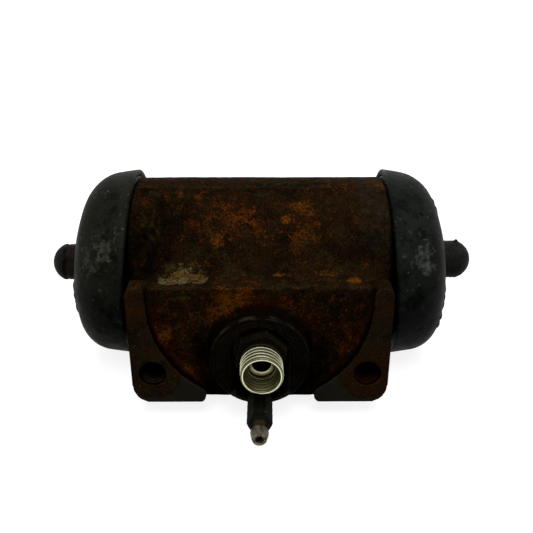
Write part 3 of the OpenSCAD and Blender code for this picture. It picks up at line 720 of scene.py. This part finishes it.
def paintBody(mesh, plan):  # where each kind of rust, wear, dirt and painted shade lies; gives back the worn edges
    x, depth, up = fromBore(readPoints(mesh))
    mountFace, recessFace, bossR, shoulder = picked(plan, "mountFace recessFace bossR shoulderAt")
    left, right = x < 0, x > 0

    def spots(rows):
        total = np.zeros(len(x))
        for row in rows:
            sx, sd, su, strength = *row[:3], row[-1]
            rx, rd, ru = row[3:6] if len(row) == 7 else (row[3],) * 3
            far = ((x - sx) / rx) ** 2 + ((depth - sd) / rd) ** 2 + ((up - su) / ru) ** 2
            total = np.maximum(total, strength * np.exp(-far))
        return total

    bossFar = np.hypot(x, up - plan["bossUp"])
    holeFar = np.hypot(np.abs(x) - plan["holeX"], up - plan["holeUp"])
    arcFar = np.abs(np.hypot(x, np.minimum(up - plan["recessUp"], 0)) - plan["recessR"])
    machined = smooth(depth, mountFace - 0.8, mountFace - 0.3)
    recessFloor = smooth(depth, recessFace - 1.2, recessFace - 0.6) * (1 - machined)
    onBoss = smooth(-bossFar, -bossR - 3.0, -bossR - 0.4) * smooth(depth, 52.0, 54.5)
    onEar = machined * (1 - onBoss)
    earNose = smooth(holeFar, 10.8, 12.2) * smooth(-up, 12.0, 18.0)
    # painted shade in the fillet round the boss's foot
    bossFootShade = (np.exp(-((bossFar - bossR - 0.8) / 2.2) ** 2) * smooth(depth, 53.2, 54.4) * (1 - machined)
                * (1 - 0.4 * smooth(up, -8.0, 4.0)))
    # painted shade on the steep wall of the recess, below the ears' edge
    recessWallShade = (np.exp(-(arcFar / 1.3) ** 2) * (0.35 + 0.65 * smooth(depth, recessFace + 1.0, mountFace - 2.0))
                  * smooth(depth, recessFace, recessFace + 1.0) * (1 - smooth(depth, mountFace - 0.6, mountFace - 0.1))
                  * (bossFar > bossR + 1))
    # painted shade inside the tapped holes
    holeShade = smooth(-holeFar, -7.2, -6.4) * smooth(mountFace - depth, 0.5, 2.0) * (depth > 30)
    # painted contact shadow on the barrel where the boots meet it
    bootGapShade = smooth(np.abs(x) + 1.3 * left, shoulder - 3.2, shoulder - 0.8) * smooth(-up, -32.0, -20.0)
    # the boss darker all over, more towards its bottom and a little less on its left
    bossDarkening = (0.55 + 0.33 * smooth(-up, -2.0, 8.0) - 0.12 * left) * onBoss
    bossRim = onBoss * smooth(bossFar, bossR - 2.4, bossR - 1.2)
    redArc = (0.2 + 0.4 * left) * np.exp(-(arcFar / 4.0) ** 2) * recessFloor * smooth(-up, -9.0, -4.0)
    redEar = (0.3 + 0.25 * right) * onEar * (1 - earNose) * smooth(-holeFar, -18.0, -9.0)
    # soot and painted shade, which darken the same colour
    dark = np.maximum.reduce([spots(plan["shadeAndSootSpots"]), bossDarkening, 0.85 * bossRim, 0.95 * bossFootShade, recessWallShade, holeShade,
                              0.85 * bootGapShade])
    marks = dict(
        machined=machined, coarse=(1 - 0.85 * machined) * (1 + 0.8 * recessFloor), shadeAndSoot=np.clip(dark, 0, 1),
        orange=spots(plan["orangeSpots"]) + 0.08 + 0.05 * recessFloor * (1 - onBoss) - 0.3 * onBoss,
        red=np.maximum(spots(plan["redSpots"]), redArc) + redEar,
        pale=spots(plan["paleSpots"]), lime=spots(plan["limeSpots"]),
        bare=onEar * earNose + 0.3 * onBoss * machined + 0.48 * smooth(x, 32.0, 44.0) * smooth(up, 15.0, 20.0),
        turned=onBoss * machined * smooth(bossFar, 12.0, 15.5) * (0.4 + 0.6 * smooth(up, -24.0, -8.0)))
    for name, value in marks.items():
        carry(mesh, name, value)
    slotEdge = np.maximum(np.exp(-((x + 10.1) / 0.9) ** 2), np.exp(-((x - 10.9) / 0.8) ** 2)) * smooth(-up, 2.0, 9.0)
    slotEdge = slotEdge * (bossFar < bossR - 0.6) * smooth(depth, 60.0, 61.5)
    bossWear = 1 + onBoss * (1.2 - 2.0 * smooth(up, -16.0, -6.0))
    return bend(mesh, 2) * bossWear * (1 - 0.75 * smooth(-holeFar, -8.2, -6.6)) + 0.3 * slotEdge


def openHoles(mesh, plan):  # the tapped holes keep their mouth and open to the thread's root behind it
    bm = bmesh.new()
    bm.from_mesh(mesh)
    bmesh.ops.remove_doubles(bm, verts=bm.verts, dist=1e-6)
    bmesh.ops.bisect_plane(bm, geom=bm.verts[:] + bm.edges[:] + bm.faces[:], plane_no=(0, 1, 0),
                           plane_co=at(0, plan["mountFace"] - 1.3, 0))
    behindMouth = at(0, plan["mountFace"] - 0.7, 0)[1]
    for vert in bm.verts:
        for side in (-1, 1):
            midX, _, midZ = at(side * plan["holeX"], 0, plan["holeUp"])
            dx, dz = vert.co.x - midX, vert.co.z - midZ
            far = math.hypot(dx, dz)
            if abs(far - plan["holeR"] * mm) < 0.0001 and vert.co.y > behindMouth:
                wide = plan["threadR"] * mm / far
                vert.co.x, vert.co.z = midX + dx * wide, midZ + dz * wide
    bm.to_mesh(mesh)
    bm.free()


def makeCastBody(plan):
    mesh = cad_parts["cylinder_body"].data.copy()
    openHoles(mesh, plan)
    obj = linked("castBody", mesh)
    skin = obj.modifiers.new("skin", "REMESH")
    skin.mode, skin.voxel_size = "VOXEL", plan["voxel"] * mm
    soft = obj.modifiers.new("soften", "SMOOTH")
    soft.factor, soft.iterations = 0.5, plan["softRounds"]
    applied(obj)
    before = triangles(obj.data)
    paintBody(obj.data, plan)
    plainMesh(obj, castSkin, {"Material": castRust})
    x, depth, up = fromBore(readPoints(obj.data))
    radius = np.hypot(depth, up)
    hidden = (radius < plan["boreR"]) | ((radius < plan["neckR"]) & (np.abs(x) > plan["shoulderAt"]))
    thinned(obj, before * (1 - 0.96 * float(hidden.mean())), hidden)
    _, depth, up = fromBore(readPoints(obj.data))
    rear = (depth < -4) | ((up < -12) & (depth < 50))
    thinned(obj, triangles(obj.data) * (1 - 0.6 * float(rear.mean())), rear)
    thinned(obj, plan["mostTriangles"])
    print("cast skin thinned from", before, "to", triangles(obj.data), "triangles")
    carry(obj.data, "edge", paintBody(obj.data, plan))
    obj.data.shade_smooth()
    return obj


body = makeCastBody(castBody)
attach(body, "housing")
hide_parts("cylinder_body")
print("cast body made")

# rust, the share of the painted shade inside each hole that is lifted on its lit crests, and the painted highlight on
# those crests, for each hole
holeThread = dict(pitch=1.75, turns=9.0, depth=1.0, crest=0.2, mouth=1.4, steps=40,
                  left=dict(orange=0.1, red=0.2, litCrestLift=0.6, bright=0.3),
                  right=dict(orange=0.3, red=1.0, litCrestLift=0.8, bright=0.12))


def makeHoleThread(side, label, plan, hole):
    look, middle = plan[label], side * hole["holeX"]
    start = hole["mountFace"] - plan["mouth"] - plan["pitch"] * plan["turns"]
    obj = coil(label + "HoleThread", threadCoil, {
        "Radius": (hole["threadR"] + 0.1) * mm, "Pitch": plan["pitch"] * mm, "Turns": plan["turns"],
        "Depth": -plan["depth"] * mm, "Crest": plan["crest"], "Steps": plan["steps"], "Material": castRust},
        facing(middle, start, hole["holeUp"]))
    x, depth, up = fromBore(readPoints(obj.data))
    below = hole["holeUp"] - up
    crest = smooth(-np.hypot(x - middle, below), -5.9, -5.3)
    # the coil is painted dark as shade inside the hole; crests in its lower half near the mouth count as lit and get a
    # painted highlight
    lit = crest * smooth(below, 0.0, 4.0) * (1 - smooth(hole["mountFace"] - depth, 5.0, 10.0))
    for name, value in dict(machined=0.5, orange=look["orange"], red=look["red"], shadeAndSoot=1.0 - look["litCrestLift"] * lit,
                            edge=look["bright"] * lit).items():
        carry(obj.data, name, np.broadcast_to(value, x.shape))
    return obj


for side, label in ((-1, "left"), (1, "right")):
    thread = makeHoleThread(side, label, holeThread, castBody)
    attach(thread, "housing")


# Boots, with marks by distance along the bore, degrees from the top, size and strength

bootShape = dict(rimAt=56.3, rimR=41.75, slope=9.0, cornerR=15.5, domeR=88.0, wall=3.3, holeR=8.62, lipLong=8.0,
                 lipThick=4.0, beadEnd=61.7, neckR=35.7, steps=264, ripple=0.18)
leftFit = dict(endAt=83.1, tilt=3.4, drop=0.1, rodShift=-0.45)
rightFit = dict(endAt=82.8, tilt=3.1, drop=0.6, rodShift=0.5)
leftMarks = dict(
    dust=[(66, 62, 10, 0.7), (70, 54, 7, 0.45), (62, 70, 6, 0.6), (68, 80, 8, 0.4)],
    dirt=[(60, 98, 4.2, 1.4), (58.8, 107, 5, 1.6), (58.4, 114, 4, 1.3), (64.5, 96, 2.6, 0.8), (68, 88, 2, 0.5)],
    nicks=[(60.5, 99, 1.6, 0.7), (58.3, 106, 1.8, 0.9), (64, 97, 1.1, 0.5), (79.9, 92, 1, -1.2), (79.7, 96, 0.9, -0.9),
           (79.2, 100, 1, -1.2), (78.9, 105, 0.9, -0.8), (78.6, 110, 1, -0.9), (66.5, 112, 1.2, 0.4)])
rightMarks = dict(
    dust=[(67, 62, 5, 0.9), (69, 68, 4.5, 1), (66, 72, 4, 0.6), (60, 84, 6, 0.4)],
    dirt=[(62, 91, 3.4, 1.4), (65, 88, 2.4, 1.2), (68.3, 36, 1.2, 0.9), (58.5, 112, 3.4, 1.2)],
    nicks=[(62.5, 92, 1.4, 0.6), (64.8, 89, 1.2, 0.5), (68.3, 36, 0.9, 0.5), (79.4, 96, 1, -0.8), (79, 103, 0.9, -0.9),
           (78.6, 109, 1, -0.8), (77.2, 116, 0.9, -0.8), (76.6, 124, 1, -0.7), (77.3, 18, 0.9, -0.5),
           (76.9, 10, 0.8, -0.5), (66, 110, 1, 0.4)])


def heading(angle):
    return np.array([math.cos(angle), math.sin(angle)])


def bootOutline(plan):  # (radius, along) from the rim's face over the outside, and back along the inside
    rimR, rimAt, neckR, endAt, holeR, wall = picked(plan, "rimR rimAt neckR endAt holeR wall")
    cornerR, domeR, beadEnd, slope = plan["cornerR"], plan["domeR"], plan["beadEnd"], math.radians(plan["slope"])
    out = heading(slope)
    run = np.array([-out[1], out[0]])
    domeMid = np.array([0, endAt - domeR])
    start = np.array([rimR, rimAt]) - cornerR * out
    lean = (start - domeMid) @ run
    reach = -lean + math.sqrt(lean ** 2 - (start - domeMid) @ (start - domeMid) + (domeR - cornerR) ** 2)
    cornerMid = start + reach * run
    toCorner = math.atan2(*(cornerMid - domeMid)[::-1])

    def sideOf(inset, sideFrom, sideRows, cornerRows):  # side and corner at a distance inside the outer face
        size = cornerR - inset
        side = [cornerMid + size * out - (1 - t) * (reach - sideFrom) * run
                for t in np.linspace(0, 1, sideRows, endpoint=False)]
        return side + [cornerMid + size * heading(a) for a in np.linspace(slope, toCorner, cornerRows)]

    def domeOf(inset, inner, rows):
        size = domeR - inset
        return [domeMid + size * heading(a) for a in np.linspace(toCorner, math.acos(inner / size), rows)[1:]]

    face = [(neckR + 0.1, rimAt + 0.9), (neckR + 0.7, rimAt + 0.2)]
    face += [(rimR - a, rimAt + b) for a, b in ((4.6, 0), (3.6, 0.05), (3.2, 0.35), (2.9, 0.75), (2.6, 0.4),
                                                (2.2, -0.05), (1.4, -0.25), (0.6, -0.05), (0.15, 0.4))]
    outer = face + sideOf(0, 0.9, 14, 34) + domeOf(0, holeR + 1.0, 26)
    lipR, lipEnd = holeR + plan["lipThick"], endAt - plan["lipLong"]
    lip = [(holeR + 0.3, endAt - 0.3), (holeR, endAt - 1.0), (holeR, lipEnd + 0.6), (holeR + 0.6, lipEnd),
           (lipR - 0.6, lipEnd), (lipR, lipEnd + 0.6)]
    inner = sideOf(wall, beadEnd - rimAt, 6, 14) + domeOf(wall, lipR, 8)
    back = [(neckR + 0.5, beadEnd), (neckR, beadEnd - 0.5)]
    return np.array([tuple(p) for p in outer + lip + inner[::-1] + back]), len(outer)


def makeBoot(name, side, marks, fit, material, seed):
    outline, outerCount = bootOutline({**bootShape, **fit})
    holeR = bootShape["holeR"]
    angle = ringAngle(bootShape["steps"])
    radius, along = outline[:, :1] + 0 * angle, outline[:, 1:] + 0 * angle
    skin = (np.arange(len(outline)) < outerCount)[:, None]
    outside = skin & (radius > holeR + 3)

    def strewn(rows, join):
        total = np.zeros_like(radius)
        for markAlong, degrees, size, strength in rows:
            far = (along - markAlong) ** 2 + (radius * turnFrom(angle, degrees)) ** 2
            total = join(total, strength * np.exp(-far / size ** 2))
        return total * skin

    dent = strewn(marks["nicks"], np.add)
    rippled = bootShape["ripple"] * waves(angle + 0.03 * along, seed, 9, 2) * smooth(radius, holeR + 3, holeR + 12)
    radius = radius + np.where(outside, rippled - dent * smooth(radius, 20, 34), 0)
    along = along - np.where(outside, 0.6 * dent * smooth(-radius, -40, -30), 0)
    # the last value is painted shade: the boot darker towards its underside
    values = {"dust": strewn(marks["dust"], np.maximum), "dirt": strewn(marks["dirt"], np.maximum),
              "shadeAndSoot": 0.72 * smooth(-radius * np.cos(angle), -8.0, 22.0)}
    along = along - math.tan(math.radians(fit["tilt"])) * radius * np.cos(angle)
    points = boreRings(along, radius, angle, side)
    nearRod = smooth(-radius, -holeR - 14, -holeR - 4)  # the lip goes with the rod
    points[..., 2] += (nearRod * (fit["rodShift"] + fit["drop"]) - fit["drop"]) * mm
    obj = gridMesh(name, points, material, True, values, 50)
    carry(obj.data, "edge", bend(obj.data, 1))
    return obj


for side, label, marks, fit, material, seed in ((-1, "left", leftMarks, leftFit, leftRubber, 3),
                                                (1, "right", rightMarks, rightFit, rightRubber, 8)):
    boot = makeBoot(label + "Boot", side, marks, fit, material, seed)
    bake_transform(boot)
    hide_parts(label + "_boot")
print("boots made")


# Push rods: where the scale ends, the crack at its border, a burr, and how each rod leans

rodShape = dict(rootAt=36.05, tipAt=95.2, r=8.5, domeR=8.9, steps=120, dents=0.12)
leftScale = dict(at=89.0, jag=0.45, crack=1.5, step=0.35, rust=1.0, up=-0.55, out=-0.3, burr=None)
rightScale = dict(at=86.0, jag=0.3, crack=0.0, step=0.05, rust=0.2, up=0.65, out=0.3,
                  burr=dict(at=88.6, degrees=-4, size=0.8, height=1.3))


def makeRod(name, side, seed, scale):
    rootAt, tipAt, domeR = rodShape["rootAt"], rodShape["tipAt"], rodShape["domeR"]
    dome = [(domeR * (1 - math.cos(a)), domeR * math.sin(a))
            for a in np.linspace(0, math.asin(rodShape["r"] / domeR), 22)]
    root = [(rootAt + deep, r) for deep, r in dome]
    tip = [(tipAt - deep, r) for deep, r in dome[::-1]]
    shank = [(a, rodShape["r"]) for a in np.linspace(root[-1][0], tip[0][0], 70)[1:-1]]
    angle = ringAngle(rodShape["steps"])
    along, radius = turnedRows(root + shank + tip, angle)
    border = scale["at"] + scale["jag"] * waves(angle, seed, 14, 2)
    bareShank = smooth(border - along, 0.0, 0.5)
    crack = np.exp(-((along - border + 0.45) / 0.7) ** 2) * scale["crack"]
    dented = rodShape["dents"] * waves(angle + along * 0.5, seed + 1, 8, 3) * waves(along * 0.9, seed + 2, 5, 1)
    seen = smooth(along, 78.0, 82.0)
    radius = radius + seen * np.where(radius > 1, dented - bareShank * scale["step"] - 0.35 * crack, 0)
    burr = scale["burr"]
    if burr:
        far = (along - burr["at"]) ** 2 + (radius * turnFrom(angle, burr["degrees"])) ** 2
        radius = radius + burr["height"] * np.exp(-far / burr["size"] ** 2)
    points = boreRings(along, radius, angle, side)
    reach = (along - rootAt) / (tipAt - rootAt)
    points[..., 0] += side * reach * scale["out"] * mm
    points[..., 2] += reach * scale["up"] * mm
    return gridMesh(name, points, rodSteel, False,
                    {"rust": bareShank * scale["rust"], "crack": np.clip(crack, 0, 1)}, 60)


leftRod = makeRod("leftRod", -1, 17, leftScale)
rightRod = makeRod("rightRod", 1, 29, rightScale)
for rod, label in ((leftRod, "left"), (rightRod, "right")):
    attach(rod, label + "_piston_group")
    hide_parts(label + "_push_rod")
print("push rods made")


# Inlet fitting

fittingShape = dict(up=-10.1, root=45.4, hexBack=59.9, hexFront=68.0, end=80.0, flats=18.0, flatAt=42.0, coreR=6.85,
                    crestR=7.98, pitch=2.0, turns=5.1, socketR=4.95, wayR=3.55, mouthR=6.8, shift=0.4, lean=0.025,
                    steps=168)


def leaning(depth, plan):  # the fitting stands a little askew in its seat
    seat = plan["hexBack"]
    return (plan["shift"] * smooth(depth, seat - 6, seat) + plan["lean"] * np.maximum(depth - seat, 0)) * mm


def browned(depth, plan):  # brown behind the first turns of the thread
    return smooth(plan["end"] - depth, 7.6, 8.8)


def makeFitting(plan):
    root, hexBack, hexFront, end = picked(plan, "root hexBack hexFront end")
    core, mouthR, socketR, wayR = picked(plan, "coreR mouthR socketR wayR")
    angle = ringAngle(plan["steps"]) + math.radians(plan["flatAt"] - 30)
    hexR, cornerR = hexagon(angle, plan["flats"], math.radians(plan["flatAt"])), hexCorner(plan["flats"])
    outside = [(root, 7.0), (root + 1.0, 8.0), (hexBack, 8.0)]
    for t in np.linspace(0, 1, 5):  # back chamfer of the hexagon
        outside.append((hexBack + 0.9 * t, np.minimum(hexR, cornerR - 0.55 * (1 - t))))
    for t in np.linspace(0, 1, 9):  # front chamfer
        outside.append((hexFront - 0.9 * (1 - t), np.minimum(hexR, cornerR - 0.8 * t)))
    outside += [(hexFront + 0.02, 8.8), (hexFront + 0.1, 7.6)]
    threaded = [(hexFront + 0.6, core), (end - 1.6, core), (end - 1.35, core + 0.05)]
    nose = [(1.2, 7.3), (0.8, 7.9), (0.4, 7.8), (0.08, 7.45), (0, 7.3), (0, 7.0), (0.08, mouthR + 0.1)]
    for i, t in enumerate(np.linspace(0, 1, 25)):  # the coned mouth keeps its turning lines
        nose.append((0.3 + 4.9 * t, mouthR + (5.15 - mouthR) * t + (0.05 if i % 4 == 0 else 0)))
    nose += [(5.35, 5.5), (6.3, 5.5), (6.5, socketR + 0.1), (6.7, socketR), (8.3, socketR - 0.1), (8.75, wayR + 0.5),
             (8.95, wayR + 0.15)]
    nose = [(end - back, r) for back, r in nose]
    way = [(end - 9.3, wayR), (root, wayR)]
    parts = (outside, threaded, nose, way)
    kind = np.repeat(range(4), [len(part) for part in parts])[:, None]
    depth, radius = turnedRows(sum(parts, []), angle)
    points = mountRings(depth, radius, angle, plan["up"])
    points[..., 0] += leaning(depth, plan)
    obj = gridMesh("fittingBody", points, zincPlate, True, {
        # painted shade: the core under the thread and the bore nearly black
        "brown": browned(depth, plan) * (kind < 2), "innerShade": 0.8 * (kind == 1) + 1.0 * (kind == 3),
        # painted shade in the undercut behind the cone
        "grooveShade": 0.9 * np.exp(-((depth - end + 5.85) / 0.6) ** 2) * (kind == 2)}, 28)
    x, depth, up = fromBore(readPoints(obj.data))
    reach, far = end - depth, np.hypot(x - leaning(depth, plan) / mm, up - plan["up"])
    # end face, cone and socket shoulder made brighter: partly clean machined zinc, partly a painted highlight
    endFace = 0.6 * (reach < 0.05)
    cone = (0.36 + 0.14 * np.sin(far * 15.0)) * (far < mouthR - 0.02) * (reach < 5.2)
    socket = 0.35 * (far < socketR + 0.05) * (reach > 6.6) * (reach < 9.1)
    chamfer = (reach > 0.05) & (reach < 1.4) & (far > 7.2)
    carry(obj.data, "edge", np.where(chamfer, -0.05, bend(obj.data, 0) + endFace + cone + socket))
    return obj


def makeFittingThread(plan):
    obj = coil("fittingThread", threadCoil, {
        "Radius": (plan["coreR"] - 0.05) * mm, "Pitch": plan["pitch"] * mm, "Turns": plan["turns"], "Foot": 0.8,
        "Depth": (plan["crestR"] - plan["coreR"] + 0.05) * mm, "Crest": 0.2, "Steps": 96, "Material": zincPlate},
        facing(0, plan["hexFront"] + 0.75, plan["up"]))
    points = readPoints(obj.data)
    x, depth, up = fromBore(points)
    rise = np.hypot(x, up - plan["up"]) - plan["coreR"]
    points[:, 0] += leaning(depth, plan)
    obj.data.vertices.foreach_set("co", points.astype(np.float32).ravel())
    # painted highlight: the edge value rises from the roots to the crests
    carry(obj.data, "edge", 2.95 * smooth(rise, 0.35, 1.1) - 2.1)
    carry(obj.data, "brown", browned(depth, plan))
    # painted shade in the thread's roots
    carry(obj.data, "innerShade", 1.2 * smooth(-rise, -0.7, -0.15))
    return obj


fitting = makeFitting(fittingShape)
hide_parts("inlet_fitting")
fittingThread = makeFittingThread(fittingShape)
for piece in (fitting, fittingThread):
    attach(piece, "housing")
print("inlet fitting made")


# Bleeder screw, with its nipple by share of its length and radius

bleederShape = dict(up=-28.5, root=44.4, hexBack=67.5, hexFront=83.1, nippleAt=85.7, end=92.6, flats=8.4, stemR=4.0,
                    neckR=2.6, steps=96, nipple=[
                        (0.1, 2.6), (0.2, 2.65), (0.27, 2.95), (0.33, 3.22), (0.39, 3.36), (0.46, 3.38), (0.53, 3.33),
                        (0.62, 3.22), (0.75, 3.02), (0.88, 2.8), (0.95, 2.64), (0.985, 2.45), (1.0, 2.2), (1.0, 1.8),
                        (0.985, 1.62), (0.95, 1.58), (0.5, 1.58), (0.0, 1.58)])


def makeBleeder(plan):
    root, hexBack, hexFront, nippleAt = picked(plan, "root hexBack hexFront nippleAt")
    angle = ringAngle(plan["steps"])
    hexR, cornerR = hexagon(angle, plan["flats"], 0.0), hexCorner(plan["flats"])
    rows = [(root - 2.3, 0.0), (root - 2.3, 1.6), (root + 0.1, plan["stemR"]), (hexBack, plan["stemR"])]
    rows += [(hexBack + 0.05, np.minimum(hexR, cornerR - 0.25)), (hexBack + 0.4, hexR)]
    rows += [(d, hexR) for d in np.linspace(hexBack + 1.5, hexFront - 0.4, 16)]
    rows += [(hexFront + (nippleAt - hexFront) * t, np.minimum(hexR, cornerR + (plan["neckR"] - cornerR) * t))
             for t in np.linspace(0, 1, 8)]
    rows += [(nippleAt + (plan["end"] - nippleAt) * t, r) for t, r in plan["nipple"]]
    rows += [(nippleAt - 6.0, 1.58), (nippleAt - 6.0, 0.0)]
    depth, radius = turnedRows(rows, angle)
    worn = 0.06 * waves(angle + depth * 1.7, 41, 7, 3) * (radius > 1.7)
    bare = smooth(depth, nippleAt + 0.6, nippleAt + 1.9)
    rust = np.exp(-((depth - nippleAt - 0.2) / 1.2) ** 2) * smooth(np.cos(angle), 0.2, 0.9)
    obj = gridMesh("bleederBody", mountRings(depth, radius + worn, angle, plan["up"]), bleederSteel, False,
                   {"bare": bare, "rust": rust}, 28)
    carry(obj.data, "edge", bend(obj.data, 0))
    return obj


bleeder = makeBleeder(bleederShape)
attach(bleeder, "bleeder")
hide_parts("bleeder_screw")
print("bleeder made")


# Spring, in two halves that each run from the middle towards their own piston

springShape = dict(r=11.8, wire=1.1, half=16.6, turns=3.5, steps=48)
for side, label in ((-1, "left"), (1, "right")):
    place = Matrix.Translation(at(0, 0, 0)) @ Matrix.Rotation(math.radians(side * 90), 4, "Y")
    half = coil(label + "SpringHalf", springCoil, {
        "Radius": springShape["r"] * mm, "Wire": springShape["wire"] * mm, "Turns": springShape["turns"],
        "Long": springShape["half"] * mm, "Steps": springShape["steps"], "Material": springSteel}, place)
    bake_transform(half)
    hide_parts("cup_spring")

for node, material in (("left_piston", pistonMetal), ("right_piston", pistonMetal), ("left_piston_cup", cupRubber),
                       ("right_piston_cup", cupRubber), ("left_cup_expander", springSteel),
                       ("right_cup_expander", springSteel), ("fitting_washer", washerCopper)):
    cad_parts[node].data.materials.clear()
    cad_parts[node].data.materials.append(material)
print("spring halves and inner pieces made")
